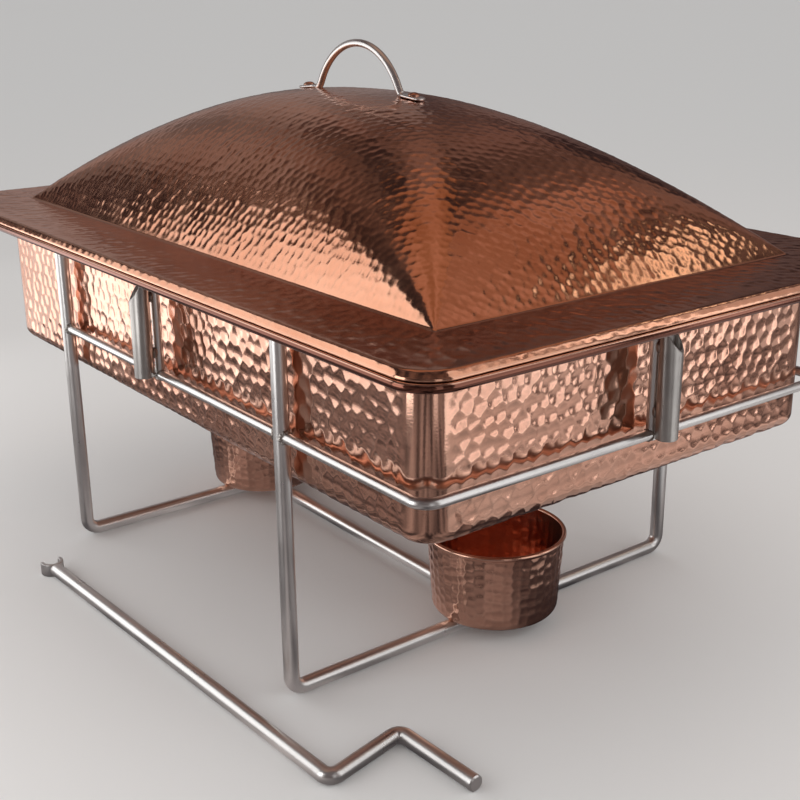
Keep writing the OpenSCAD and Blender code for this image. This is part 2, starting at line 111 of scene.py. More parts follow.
# Lid holder: a long leg from the fork, a bend, and a short plug that drops into a socket.
HOLDER_LEG = 326 * MM
HOLDER_OFFSET = 56.5 * MM
HOLDER_PLUG = 63 * MM
HOLDER_BEND = math.radians(99)
HOLDER_TURN = math.radians(2.7)
HOLDER_BEND_R = 5.4 * MM
HOLDER_CHAMFER = 0.8 * MM
FORK_R = 8 * MM
FORK_REACH = 7.6 * MM
FORK_WALL = 2.6 * MM
FORK_OPENING = math.acos(-0.35)

FOOD_SHEET = 1 * MM
FOOD_BODY = (252 * MM, 150 * MM)
FOOD_CORNER_R = 44 * MM
FOOD_EDGE_R = 16 * MM
FOOD_STEPS = (24, 14, 24)
FOOD_RIM_EASE = 0.3 * MM

# Rods and welds. A rod that meets one as thick as itself is coped a hair thinner, to keep the cut clean.
ROD_SIDES = 32
ROD_CHAMFER = 0.4 * MM
FOOT_BEND_R = 9 * MM
RING_CORNER_R = 10 * MM
BEND_STEP = 0.7 * MM
BEAD_SIDES = 12
WELD = 1.25 * MM
SMALL_WELD = 0.75 * MM
COPED_SHARE = 0.98
WELD_RING_SIDES = 56
SOCKET_WELD_HEIGHTS = (15 * MM, 52 * MM)
SOCKET_WELD_SIZE = (2.1 * MM, 2.1 * MM, 3.4 * MM)
SOCKET_WELD_SHIFT = (1.4 * MM, 0.6 * MM)
SOCKET_WELD_OUT = 0.8 * MM

# Hammer marks: their spacing, how far one strays as a share of that, their radius, how crisp the ridges
# between them are, their depth, and the share of it that lies below the smooth sheet.
Marks = namedtuple("Marks", "spacing stray radius crisp depth level")
PAN_MARKS = Marks(9.8 * MM, 0.2, 5.6 * MM, 16, 0.46 * MM, 0.7)
DOME_MARKS = Marks(6.8 * MM, 0.2, 3.9 * MM, 12, 0.26 * MM, 0.7)
BRIM_MARKS = Marks(8 * MM, 0.25, 4.6 * MM, 9, 0.36 * MM, 0.6)
CUP_MARKS = Marks(6.6 * MM, 0.16, 3.7 * MM, 12, 0.5 * MM, 0.6)
CUP_COLUMNS = 46
CUP_COLUMN_STRAY = 0.14
CUP_COLUMN_STEP = 1.4 * MM
CUP_INSIDE_DEPTH = 0.4 * MM
BRIM_EDGE_DEPTH = 0.12 * MM
LIP_DEPTH = 0.15 * MM
MARK_SIZE_SPREAD = 0.28
MARKS_FELT = 4
LOWEST, HIGHEST = -0.4, 1.3

# ---- places from the frame ----


def middle(node):
    lo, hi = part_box(node)
    return (lo + hi) / 2


leg_lo, leg_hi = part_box("leg_frame_left")
MID_Y = (leg_lo.y + leg_hi.y) / 2
ROD_R = (leg_hi.x - leg_lo.x) / 2
LEG_X = -middle("leg_frame_left").x
LEG_Y = (leg_hi.y - leg_lo.y) / 2 - ROD_R
LEG_TOP = leg_hi.z
ring_lo, ring_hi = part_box("ring_rod_rear")
RING_R = (ring_hi.z - ring_lo.z) / 2
RING_Z = (ring_lo.z + ring_hi.z) / 2
RING_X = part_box("ring_rod_end_rear")[1].x - RING_R
water_lo, water_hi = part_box("water_pan")
lid_lo, lid_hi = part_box("lid_shell")
BRIM_Z = lid_hi.z - DOME_RISE


def in_set(points):
    """Points given about the stand's own middle, moved to the frame of the CAD model."""
    return np.asarray(points, float) + (0, MID_Y, 0)


# ---- materials ----

BUMP_DEPTH = 0.2 * MM
PITTED = (0.45, 0.32, 0.28)
WORN_COPPER = (0.98, 0.72, 0.56)
# Painted shade: the pan's copper turns this dark brown between two heights. The band covers the lower part of
# its rolled rim and the top of the wall under the flange, in place of the dark floor seen there in
# reflection, and its edges ease in.
PAINTED_SHADE_BROWN = (0.24, 0.10, 0.07)
PAINTED_SHADE_EASE = 0.6 * MM
PAINTED_SHADE_ON_RIM = (water_hi.z - 6.4 * MM, water_hi.z - 1.9 * MM)
FAINT = 0.1
SATIN = {"scale": 400, "bump": 0.004, "grain": 0.03}


class Nodes:
    """A small helper for building a node tree. Its patterns lie in position."""

    def __init__(self, tree, coordinates="Object"):
        self.tree = tree
        self.position = self.add("ShaderNodeTexCoord").outputs[coordinates]

    def add(self, kind, **values):
        node = self.tree.nodes.new(kind)
        for key, value in values.items():
            setattr(node, key, value)
        return node

    def link(self, source, target):
        self.tree.links.new(source, target)

    def scaled(self, scale):
        mapping = self.add("ShaderNodeMapping")
        mapping.inputs["Scale"].default_value = scale
        self.link(self.position, mapping.inputs["Vector"])
        return mapping.outputs["Vector"]

    def noise(self, scale, detail, stretch=(1, 1, 1)):
        node = self.add("ShaderNodeTexNoise")
        node.inputs["Scale"].default_value = scale
        node.inputs["Detail"].default_value = detail
        self.link(self.scaled(stretch), node.inputs["Vector"])
        return node.outputs["Fac"]

    def ramp(self, source, stops):
        node = self.add("ShaderNodeValToRGB")
        while len(node.color_ramp.elements) < len(stops):
            node.color_ramp.elements.new(0.5)
        for element, (place, colour) in zip(node.color_ramp.elements, stops):
            element.position = place
            element.color = (*colour, 1)
        self.link(source, node.inputs["Fac"])
        return node.outputs["Color"]

    def span(self, source, low, high, from_low=0.3, from_high=0.7):
        node = self.add("ShaderNodeMapRange")
        ends = {"From Min": from_low, "From Max": from_high, "To Min": low, "To Max": high}
        for key, value in ends.items():
            node.inputs[key].default_value = value
        self.link(source, node.inputs["Value"])
        return node.outputs["Result"]

    def mix(self, factor, first, second, mode="MIX"):
        node = self.add("ShaderNodeMix", data_type="RGBA", blend_type=mode)
        for socket, value in ((node.inputs[0], factor), (node.inputs[6], first), (node.inputs[7], second)):
            if isinstance(value, bpy.types.NodeSocket):
                self.link(value, socket)
            elif isinstance(value, tuple):
                socket.default_value = (*value, 1)
            else:
                socket.default_value = value
        return node.outputs[2]

    def bump(self, height, strength):
        node = self.add("ShaderNodeBump")
        node.inputs["Strength"].default_value = strength
        node.inputs["Distance"].default_value = BUMP_DEPTH
        self.link(height, node.inputs["Height"])
        return node.outputs["Normal"]

    def product(self, first, second):
        node = self.add("ShaderNodeMath", operation="MULTIPLY")
        self.link(first, node.inputs[0])
        self.link(second, node.inputs[1])
        return node.outputs["Value"]


def paint(name):
    """A new material, the helper for its nodes, and its main shader."""
    material = bpy.data.materials.new(name)
    material.use_nodes = True
    return material, Nodes(material.node_tree), material.node_tree.nodes["Principled BSDF"]


def metal(name, build):
    """A metal whose colour, roughness and normal are built by a function of its Nodes."""
    material, n, shader = paint(name)
    shader.inputs["Metallic"].default_value = 1
    for socket, source in zip(("Base Color", "Roughness", "Normal"), build(n)):
        n.link(source, shader.inputs[socket])
    return material


def copper(name, light, deep, rough, painted_shade_band=None):
    """Polished copper: a slow drift of colour, smudges in the shine, small pits and a fine grain.

    Between two given heights it's painted a dark brown. This painted shade stands in for the dark floor that
    the pan's rolled rim reflects.
    """

    def build(n):
        colour = n.ramp(n.noise(14, 3), [(0.36, deep), (0.64, light)])
        pits = n.ramp(n.noise(260, 2), [(0.24, PITTED), (0.34, (1, 1, 1))])
        colour = n.mix(0.25, colour, pits, "MULTIPLY")
        worn = n.add("ShaderNodeNewGeometry").outputs["Pointiness"]
        colour = n.mix(n.span(worn, 0, 0.35, 0.50, 0.56), colour, WORN_COPPER)
        # Painted shade: dark brown laid over a band of heights.
        if painted_shade_band:
            parts = n.add("ShaderNodeSeparateXYZ")
            n.link(n.position, parts.inputs["Vector"])
            above = n.span(parts.outputs["Z"], 0, 1, painted_shade_band[0] - PAINTED_SHADE_EASE, painted_shade_band[0])
            below = n.span(parts.outputs["Z"], 1, 0, painted_shade_band[1], painted_shade_band[1] + PAINTED_SHADE_EASE)
            colour = n.mix(n.product(above, below), colour, PAINTED_SHADE_BROWN)
        return colour, n.span(n.noise(55, 5), *rough), n.bump(n.noise(900, 3), 0.12)

    return metal(name, build)


def steel(name, light, deep, rough, scale, scratch=(1, 1, 1), bump=0.25, grain=0.15):
    """Satin steel with fine lines along scratch, darker by up to grain, and patches of a second colour.

    Its roughness follows the lines, or the patches where the grain is faint.
    """

    def build(n):
        lines = n.noise(scale, 4, scratch)
        patch = n.noise(40, 4)
        colour = n.ramp(patch, [(0.35, deep), (0.65, light)])
        colour = n.mix(n.span(lines, 0, grain), colour, tuple(0.7 * c for c in deep))
        source = patch if grain < FAINT else lines
        return colour, n.span(source, *rough), n.bump(lines, bump)

    return metal(name, build)


LID_COPPER = copper("lid copper", (0.83, 0.42, 0.27), (0.72, 0.33, 0.20), (0.09, 0.18))
# The pan's copper carries the band of painted shade on its rolled rim.
PAN_COPPER = copper("pan copper", (0.86, 0.50, 0.37), (0.78, 0.42, 0.30), (0.07, 0.15), PAINTED_SHADE_ON_RIM)
CUP_COPPER = copper("cup copper", (0.88, 0.51, 0.38), (0.80, 0.43, 0.31), (0.16, 0.25))
RIVET_COPPER = copper("rivet copper", (0.80, 0.40, 0.27), (0.62, 0.28, 0.18), (0.16, 0.3))
STEEL = steel("satin steel", (0.94, 0.93, 0.91), (0.86, 0.85, 0.83), (0.27, 0.34), **SATIN)
HANDLE_STEEL = steel("satin handle steel", (0.92, 0.90, 0.88), (0.86, 0.84, 0.82), (0.26, 0.34), **SATIN)
TUBE_STEEL = steel(
    "brushed tube steel", (0.60, 0.58, 0.55), (0.46, 0.44, 0.42), (0.28, 0.42), 500, scratch=(1, 1, 0.04)
)
TRAY_STEEL = steel(
    "tray steel", (0.70, 0.70, 0.70), (0.60, 0.60, 0.61), (0.18, 0.3), 300, scratch=(0.05, 1, 1)
)
WELD_STEEL = steel("weld steel", (0.62, 0.60, 0.57), (0.34, 0.29, 0.25), (0.28, 0.5), 700, bump=0.5)

# ---- mesh helpers ----


def make_piece(name, points, faces, body, material, sharp=math.radians(40), nodes=None):
    """A smooth-shaded mesh on a CAD body. It stands for nodes, or for the node that it's named after."""
    mesh = bpy.data.meshes.new(name)
    mesh.from_pydata(points.tolist(), [], faces)
    solid = bmesh.new()
    solid.from_mesh(mesh)
    bmesh.ops.recalc_face_normals(solid, faces=solid.faces)
    solid.to_mesh(mesh)
    solid.free()
    mesh.polygons.foreach_set("use_smooth", [True] * len(mesh.polygons))
    if sharp:
        mesh.set_sharp_from_angle(angle=sharp)
    mesh.materials.append(material)
    obj = bpy.data.objects.new(name, mesh)
    bpy.context.scene.collection.objects.link(obj)
    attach(obj, body)
    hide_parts(*(nodes or [name]))


def band(first, second, count):
    """Quads between two closed loops of count points."""
    return [(first + k, first + (k + 1) % count, second + (k + 1) % count, second + k) for k in range(count)]


def bands(start, loops, count):
    return [f for i in range(loops - 1) for f in band(start + i * count, start + (i + 1) * count, count)]


def fan(first, centre, count):
    return [(first + k, first + (k + 1) % count, centre) for k in range(count)]


def capped(loops, count, first_centre, last_centre, start=0):
    """Faces through loops of count points and over both ends. make_piece turns them all to face outwards."""
    last_loop = start + (loops - 1) * count
    return bands(start, loops, count) + fan(start, first_centre, count) + fan(last_loop, last_centre, count)


class Shell:
    """Collects the points and faces of one piece."""

    def __init__(self):
        self.points, self.faces, self.count = [], [], 0

    def add(self, points, faces=()):
        start = self.count
        self.points.append(np.asarray(points, float).reshape(-1, 3))
        self.count += len(self.points[-1])
        self.faces += [tuple(start + i for i in f) for f in faces]
        return start

    def all_points(self):
        return np.vstack(self.points)


def unit(v):
    return v / np.maximum(np.linalg.norm(v, axis=-1, keepdims=True), 1e-12)


def polyline(corners, bends):
    """Points along a path of straight runs joined by circular bends, with the direction at each."""
    points, headings = [corners[0]], [unit(corners[1] - corners[0])]
    for i, bend_r in enumerate(bends, 1):
        a, b = unit(corners[i] - corners[i - 1]), unit(corners[i + 1] - corners[i])
        angle = math.acos(np.clip(a @ b, -1, 1))
        start = corners[i] - a * bend_r * math.tan(angle / 2)
        inward = unit(b - a * (a @ b))
        turns = max(6, int(bend_r * angle / BEND_STEP))
        for t in np.linspace(0, angle, turns + 1):
            points.append(start + bend_r * (a * math.sin(t) + inward * (1 - math.cos(t))))
            headings.append(a * math.cos(t) + inward * math.sin(t))
    points.append(corners[-1])
    headings.append(unit(corners[-1] - corners[-2]))
    return np.array(points), np.array(headings)


def cope(ring, heading, cutter):
    """Slides a ring of points along heading until each one meets the near side of the cutter's cylinder."""
    centre, axis, radius = (np.asarray(v, float) for v in cutter)
    flat = ring - centre
    flat = flat - np.outer(flat @ axis, axis)
    d = heading - (heading @ axis) * axis
    along, d2 = flat @ d, d @ d
    root = np.sqrt(np.maximum(along**2 - d2 * ((flat**2).sum(1) - radius**2), 0))
    return ring + np.outer((-along - root) / d2, heading)


def rod(corners, bends, radius, chamfer=ROD_CHAMFER, start_cut=None, end_cut=None):
    """Points and faces of a round rod along a path, with eased ends or ends coped round another rod."""
    path, heads = polyline(corners, bends)
    keep = [0] + [i for i in range(1, len(path)) if np.linalg.norm(path[i] - path[i - 1]) > 1e-7]
    path, heads = path[keep], heads[keep]
    side = unit(np.cross(heads[0], (0, 0, 1) if abs(heads[0][2]) < 0.9 else (0, 1, 0)))
    angles = np.arange(ROD_SIDES) * TAU / ROD_SIDES
    rings = []
    for p, h in zip(path, heads):
        side = unit(side - h * (side @ h))
        rings.append((p, np.outer(np.cos(angles), side) + np.outer(np.sin(angles), np.cross(h, side))))
    loops = [p + radius * ring for p, ring in rings]
    if start_cut is None:
        p, ring = rings[0]
        loops[:1] = [p + (radius - chamfer) * ring, p + heads[0] * chamfer + radius * ring]
    else:
        loops[0] = cope(loops[0], -heads[0], start_cut)
    if end_cut is None:
        p, ring = rings[-1]
        loops[-1:] = [p - heads[-1] * chamfer + radius * ring, p + (radius - chamfer) * ring]
    else:
        loops[-1] = cope(loops[-1], heads[-1], end_cut)
    shell = Shell()
    for loop in loops:
        shell.add(loop)
    a = shell.add(loops[0].mean(0))
    b = shell.add(loops[-1].mean(0))
    shell.faces = capped(len(loops), ROD_SIDES, a, b)
    return shell


def bead(path, radius, lumps, seed):
    """A lumpy bead of weld along a closed path of points."""
    rng = np.random.default_rng(seed)
    count = len(path)
    ahead = unit(np.roll(path, -1, 0) - np.roll(path, 1, 0))
    out = unit(path - path.mean(0))
    out = unit(out - ahead * (out * ahead).sum(1, keepdims=True))
    up = np.cross(ahead, out)
    along = np.arange(count) / count * TAU
    waves = 0.12 * np.sin(lumps * along + rng.uniform(0, TAU)) + 0.06 * np.sin((lumps - 2) * along)
    size = radius * (1 + waves) * (1 + 0.05 * rng.standard_normal(count))
    angles = np.arange(BEAD_SIDES) * TAU / BEAD_SIDES
    points = (
        path[:, None]
        + (size[:, None] * np.cos(angles))[..., None] * out[:, None]
        + (size[:, None] * np.sin(angles))[..., None] * up[:, None]
    )
    shell = Shell()
    shell.add(points, bands(0, count, BEAD_SIDES) + band((count - 1) * BEAD_SIDES, 0, BEAD_SIDES))
    return shell


def joined(shells):
    whole = Shell()
    for s in shells:
        whole.add(s.all_points(), s.faces)
    return whole


# ---- hammering ----


def staggered(u_span, v_span, marks, seed):
    """Places of hammer marks over a flat (u, v) area, in rows that are offset by half a step in turn."""
    rng = np.random.default_rng(seed)
    places = []
    for row, v in enumerate(np.arange(*v_span, marks.spacing * math.sqrt(3) / 2)):
        shift = 0.5 * marks.spacing * (row % 2)
        places += [(u + shift, v) for u in np.arange(*u_span, marks.spacing)]
    return np.array(places) + rng.uniform(-marks.stray, marks.stray, (len(places), 2)) * marks.spacing


def dents(grid, centres, marks, seed):
    """Heights over a grid of points, lowest in the middle of each mark, with ridges where marks meet."""
    size = np.random.default_rng(seed).uniform(-MARK_SIZE_SPREAD, MARK_SIZE_SPREAD, len(centres)).tolist()
    tree = KDTree(len(centres))
    for i, c in enumerate(centres):
        tree.insert(c, i)
    tree.balance()
    height = []
    per_area = 1 / marks.radius**2
    for p in grid.reshape(-1, 3).tolist():
        near = tree.find_n(p, MARKS_FELT)
        total = sum(math.exp(-marks.crisp * (d * d * per_area + size[j])) for _, j, d in near)
        height.append(-math.log(max(total, 1e-12)) / marks.crisp)
    return np.clip(height, LOWEST, HIGHEST).reshape(grid.shape[:2]) - marks.level


def grid_normals(points, wrap):
    """Unit normals of a (rows, columns, 3) array of points. Columns close on themselves if wrap is true."""
    across = np.roll(points, -1, 1) - np.roll(points, 1, 1) if wrap else np.gradient(points, axis=1)
    return unit(np.cross(np.gradient(points, axis=0), across))


def pushed(grid, directions, distance):
    return grid + directions * distance[..., None]


def ease(distance, over):
    """0 at the edge of a hammered area and 1 further in than over."""
    return np.clip(distance / over, 0, 1)


# ---- rounded rectangles ----


def rounded_rectangle(hx, hy, r, steps_x, steps_y, steps_arc):
    """Points counter-clockwise round a rectangle with rounded corners, from the middle of its +X side.

    steps_x and steps_y count the steps along half of each straight, and steps_arc those round a corner.
    """
    up = [(hx, t * (hy - r)) for t in np.linspace(0, 1, steps_y, endpoint=False)]
    turn = np.linspace(0, math.pi / 2, steps_arc, endpoint=False)
    corner = [(hx - r + r * math.cos(a), hy - r + r * math.sin(a)) for a in turn]
    back = [(t * (hx - r), hy) for t in np.linspace(1, 0, steps_x, endpoint=False)]
    first = np.array(up + corner + back)
    second = np.vstack(([(0, hy)], first[:0:-1])) * (-1, 1)
    half = np.vstack((first, second))
    return np.vstack((half, -half))


def at_height(loop, z):
    return np.column_stack((loop, np.full(len(loop), z)))


def arc(centre, radius, start, end, steps):
    """(offset, height) points on an arc, from angle start to end in degrees, both ends included."""
    turn = np.radians(np.linspace(start, end, steps + 1))
    return [(centre[0] + radius * math.cos(a), centre[1] + radius * math.sin(a)) for a in turn]


# ---- stand ----


def stand_rod(name, corners, bends, radius, **cuts):
    shell = rod(in_set(corners), bends, radius, **cuts)
    make_piece(name, shell.all_points(), shell.faces, "stand", STEEL)


def leg_cutter(sx, sy):
    return (sx * LEG_X, MID_Y + sy * LEG_Y, 0), (0, 0, 1), ROD_R


def post_cutter(x, y):
    return (x, MID_Y + y, 0), (0, 0, 1), RING_R


def rail_cutter(side, grow=1.0):
    return (side * LEG_X, MID_Y, ROD_R), (0, 1, 0), ROD_R * grow


for side, name in ((-1, "leg_frame_left"), (1, "leg_frame_right")):
    x = side * LEG_X
    ends = [(x, -LEG_Y, LEG_TOP), (x, -LEG_Y, ROD_R), (x, LEG_Y, ROD_R), (x, LEG_Y, LEG_TOP)]
    stand_rod(name, ends, [FOOT_BEND_R] * 2, ROD_R)

stand_rod(
    "base_rail", [(-LEG_X, 0, ROD_R), (LEG_X, 0, ROD_R)], [], ROD_R,
    start_cut=rail_cutter(-1), end_cut=rail_cutter(1),
)
stand_rod(
    "ring_rod_front_left", [(-LEG_X, -LEG_Y, RING_Z), (0, -LEG_Y, RING_Z)], [], RING_R,
    start_cut=leg_cutter(-1, -1), end_cut=post_cutter(0, -LEG_Y),
)
stand_rod(
    "ring_rod_front_right", [(0, -LEG_Y, RING_Z), (LEG_X, -LEG_Y, RING_Z)], [], RING_R,
    start_cut=post_cutter(0, -LEG_Y), end_cut=leg_cutter(1, -1),
)
stand_rod(
    "ring_rod_rear", [(-LEG_X, LEG_Y, RING_Z), (LEG_X, LEG_Y, RING_Z)], [], RING_R,
    start_cut=leg_cutter(-1, 1), end_cut=leg_cutter(1, 1),
)
for side, name in ((-1, "ring_rod_end_front"), (1, "ring_rod_end_rear")):
    stand_rod(
        name, [(LEG_X, side * LEG_Y, RING_Z), (RING_X, side * LEG_Y, RING_Z), (RING_X, 0, RING_Z)],
        [RING_CORNER_R], RING_R, start_cut=leg_cutter(1, side), end_cut=post_cutter(RING_X, 0),
    )
POST_LOW = RING_Z - RING_R
stand_rod("socket_post_front", [(0, -LEG_Y, POST_LOW), (0, -LEG_Y, LEG_TOP)], [], RING_R)
stand_rod("socket_post_end", [(RING_X, 0, POST_LOW), (RING_X, 0, LEG_TOP)], [], RING_R)


def socket_tube(name, turn):
    """An open tube whose mouth is cut off by a steep bevel, lowest towards the direction turn."""
    lo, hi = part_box(name)
    outer = min(hi.x - lo.x, hi.y - lo.y) / 2
    centre = np.array(((lo.x + hi.x) / 2, (lo.y + hi.y) / 2))
    angles = np.arange(TUBE_SIDES) * TAU / TUBE_SIDES
    low_z = lo.z + SOCKET_ROUND_LENGTH
    bore, soft = SOCKET_BORE_R, TUBE_EASE

    def ring_at(r, z):
        xy = centre + r * np.column_stack((np.cos(angles), np.sin(angles)))
        return np.column_stack((xy, np.broadcast_to(z, TUBE_SIDES)))

    def mouth(r, drop):
        return ring_at(r, low_z + (outer - r * np.cos(angles - turn)) * math.tan(SOCKET_BEVEL) - drop)

    loops = [ring_at(outer - soft, lo.z), ring_at(outer, lo.z + soft)]
    loops += [mouth(outer, 2 * soft), mouth(outer - soft / 2, soft / 3), mouth(bore + soft / 2, soft / 3)]
    loops += [mouth(bore, 2 * soft), ring_at(bore, lo.z + soft), ring_at(bore + soft, lo.z)]
    faces = bands(0, len(loops), TUBE_SIDES) + band((len(loops) - 1) * TUBE_SIDES, 0, TUBE_SIDES)
    make_piece(name, np.vstack(loops), faces, "stand", TUBE_STEEL)
    return centre


front_tube = socket_tube("socket_tube_front", -math.pi / 2 - SOCKET_TURN)
end_tube = socket_tube("socket_tube_end", SOCKET_TURN)


def blob(centre, radii, seed):
    """A lumpy drop of weld."""
    rng = np.random.default_rng(seed)
    rings, sides = 14, 20
    waves = rng.uniform(0, TAU, 4)
    shell = Shell()
    b = np.arange(sides) * TAU / sides
    circle = np.column_stack((np.cos(b), np.sin(b)))
    for a in np.linspace(0, math.pi, rings + 1)[1:-1]:
        lump = 1 + 0.09 * math.sin(5 * a + waves[0]) * np.sin(2 * b + waves[1])
        lump += 0.06 * np.sin(4 * b + waves[2])
        shell.add(centre + lump[:, None] * at_height(math.sin(a) * circle, math.cos(a)) * radii)
    top = shell.add(centre + (0, 0, radii[2]))
    low = shell.add(centre - (0, 0, radii[2]))
    shell.faces = capped(rings - 1, sides, top, low)
    return shell


def joint_bead(rod_start, heading, radius, cutter, size, seed):
    """A bead round the end of a rod, where it meets the rod that the cutter stands for."""
    heading = np.asarray(heading, float)
    side = unit(np.cross(heading, (0, 0, 1)))
    angles = np.arange(WELD_RING_SIDES) * TAU / WELD_RING_SIDES
    ring = np.asarray(rod_start) + (radius + 0.15 * size) * (
        np.outer(np.cos(angles), side) + np.outer(np.sin(angles), np.cross(heading, side))
    )
    centre, axis, r = cutter
    ring = cope(ring, heading, (centre, axis, r + 0.1 * size))
    shell = bead(ring, size, 9, seed)
    shell.points = [np.maximum(p, (-9, -9, 0.1 * MM)) for p in shell.points]
    return shell


beads = []
for sx in (-1, 1):
    start, cutter = (0, MID_Y, ROD_R), rail_cutter(sx, 1.001)
    beads.append(joint_bead(start, (sx, 0, 0), ROD_R * COPED_SHARE, cutter, WELD, 10 + sx))
    for sy in (-1, 1):
        start = (0, MID_Y + sy * LEG_Y, RING_Z)
        beads.append(joint_bead(start, (sx, 0, 0), RING_R, leg_cutter(sx, sy), WELD, 20 + sx + 3 * sy))
for sy in (-1, 1):
    start = (RING_X, MID_Y + sy * LEG_Y, RING_Z)
    beads.append(joint_bead(start, (-1, 0, 0), RING_R, leg_cutter(1, sy), WELD, 30 + sy))
    start, cutter = (RING_X, MID_Y + sy * 0.1, RING_Z), post_cutter(RING_X, 0)
    beads.append(joint_bead(start, (0, -sy, 0), RING_R * COPED_SHARE, cutter, SMALL_WELD, 40 + sy))
    start, cutter = (sy * 0.1, MID_Y - LEG_Y, RING_Z), post_cutter(0, -LEG_Y)
    beads.append(joint_bead(start, (-sy, 0, 0), RING_R * COPED_SHARE, cutter, SMALL_WELD, 50 + sy))
welds = joined(beads)
make_piece("frame_welds", welds.all_points(), welds.faces, "stand", WELD_STEEL, None)

blobs = []
for post, tube, across in (((0, MID_Y - LEG_Y), front_tube, (1, 0)), ((RING_X, MID_Y), end_tube, (0, 1))):
    gap = post + unit(tube - post) * (RING_R + SOCKET_WELD_OUT)
    for k, height in enumerate(SOCKET_WELD_HEIGHTS):
        for s in (-1, 1):
            x, y = gap + s * SOCKET_WELD_SHIFT[0] * np.array(across)
            spot = np.array((x, y, RING_Z + height + s * SOCKET_WELD_SHIFT[1]))
            blobs.append(blob(spot, SOCKET_WELD_SIZE, 60 + 2 * k + s))
welds = joined(blobs)
make_piece("socket_welds", welds.all_points(), welds.faces, "stand", WELD_STEEL, None)

# ---- water pan ----

pan_z = water_lo.z
flange_z = water_hi.z - ROLL_R / 2
roll_z = flange_z - ROLL_R / 2
roll_x, roll_y = water_hi.x - ROLL_R, (water_hi.y - water_lo.y) / 2 - ROLL_R
wall_top = flange_z - SHEET
edge_z = pan_z + PAN_EDGE_R


def pan_loop(inset, z):
    r = max(PAN_CORNER_R - inset, 2 * MM)
    return at_height(rounded_rectangle(PAN_WALL[0] - inset, PAN_WALL[1] - inset, r, *PAN_STEPS), z)


def rim_loop(inset, z):
    r = max(ROLL_CORNER_R - inset, 1 * MM)
    return at_height(rounded_rectangle(roll_x - inset, roll_y - inset, r, *PAN_STEPS), z)


def wall_marks(loop, marks, seed):
    """Hammer marks in rows up the pan's wall, which follows a loop."""
    closed = np.vstack((loop, loop[:1]))
    along = np.concatenate(([0], np.cumsum(np.linalg.norm(np.diff(closed, axis=0), axis=1))))
    span = (pan_z - MARKS_BEYOND, wall_top + MARKS_BEYOND)
    places = staggered((0, along[-1] - marks.spacing / 2), span, marks, seed)
    x, y = (np.interp(places[:, 0] % along[-1], along, closed[:, i]) for i in (0, 1))
    under_edge = (edge_z - PAN_EDGE_R / 2 - places[:, 1]) / MARKS_DRAWN_IN
    return np.column_stack((x * np.clip(1 - under_edge, 0.9, 1), y, places[:, 1]))


def pan_edge(r, inset, first, last, steps):
    """The bend from wall to floor, between two angles from level."""
    turn = np.linspace(first, last, steps)
    return [pan_loop(inset + r * (1 - math.cos(a)), edge_z - r * math.sin(a)) for a in turn]


wall = [pan_loop(0, z) for z in np.linspace(wall_top, edge_z, PAN_WALL_LOOPS)]
wall += pan_edge(PAN_EDGE_R, 0, 0, math.pi / 2, 10)[1:]
wall = np.array(wall + [pan_loop(PAN_EDGE_R + d * MM, pan_z) for d in (2, 4, 6, 8)])
wall_normals = grid_normals(wall, True)
wall_normals *= np.sign((wall_normals * (wall - (0, 0, wall_top))).sum(-1, keepdims=True))
from_corner = np.maximum(PAN_WALL[0] - np.abs(wall[..., 0]), PAN_WALL[1] - np.abs(wall[..., 1]))
hammered = ease(from_corner - CORNER_BARE, CORNER_EASE) ** 2 * ease(wall_top - wall[..., 2], 5 * MM)
wall_dents = dents(wall, wall_marks(wall[0], PAN_MARKS, 3), PAN_MARKS, 4)
wall = pushed(wall, wall_normals, wall_dents * PAN_MARKS.depth * hammered)

loops = [pan_loop(PAN_EDGE_R + 40 * MM, pan_z), *wall[::-1], pan_loop(-4 * MM, wall_top)]
loops += [rim_loop(-dx, z) for dx, z in arc((0, roll_z), ROLL_R, 180, 405, 20)]
loops += [rim_loop(d, flange_z) for d in (ROLL_R * 0.9, 8 * MM, 20 * MM, 34 * MM)]
loops += [pan_loop(SHEET - 1.5 * MM, flange_z), pan_loop(SHEET, flange_z - 1.5 * MM), pan_loop(SHEET, edge_z)]
loops += pan_edge(PAN_EDGE_R - SHEET, SHEET, 0, math.pi / 2, 7)[1:]
loops += [pan_loop(SHEET + PAN_EDGE_R + 30 * MM, pan_z + SHEET)]
count = len(loops[0])
points = in_set(np.vstack((*loops, [(0, 0, pan_z), (0, 0, pan_z + SHEET)])))
faces = capped(len(loops), count, len(points) - 2, len(points) - 1)
make_piece("water_pan", points, faces, "water_pan_body", PAN_COPPER, None)

# ---- lid ----


def dome_height(share):
    return BRIM_Z + DOME_RISE * (1 - share**DOME_POWER)


def dome_exponent(share):
    t = share**SQUARENESS_POWER
    return np.minimum(SHARPEST, 2 + DOME_SQUARENESS * t / np.maximum(1 - t, 1e-9))


def loop_reach(u, v, exponent):
    """1 where (u, v) is on the superellipse of that exponent, and less inside it."""
    big = np.maximum(np.maximum(np.abs(u), np.abs(v)), 1e-9)
    return big * ((np.abs(u) / big) ** exponent + (np.abs(v) / big) ** exponent) ** (1 / exponent)


def dome_share(x, y):
    """How far down the dome a place in plan is, from 0 at the top to 1 at the base."""
    low, high = np.full_like(x, 1e-6), np.ones_like(x)
    for _ in range(36):
        mid = (low + high) / 2
        inside = loop_reach(x / (DOME_BASE[0] * mid), y / (DOME_BASE[1] * mid), dome_exponent(mid)) < 1
        low, high = np.where(inside, low, mid), np.where(inside, mid, high)
    return (low + high) / 2


def profile_table(half):
    """Places from the dome's middle out to half, and the distance to each along its curved profile."""
    t = np.linspace(0, half, 2000)
    slope = DOME_RISE * DOME_POWER / half * (t / half) ** (DOME_POWER - 1)
    return t, np.concatenate(([0], np.cumsum(np.hypot(np.diff(t), slope[1:] * np.diff(t)))))


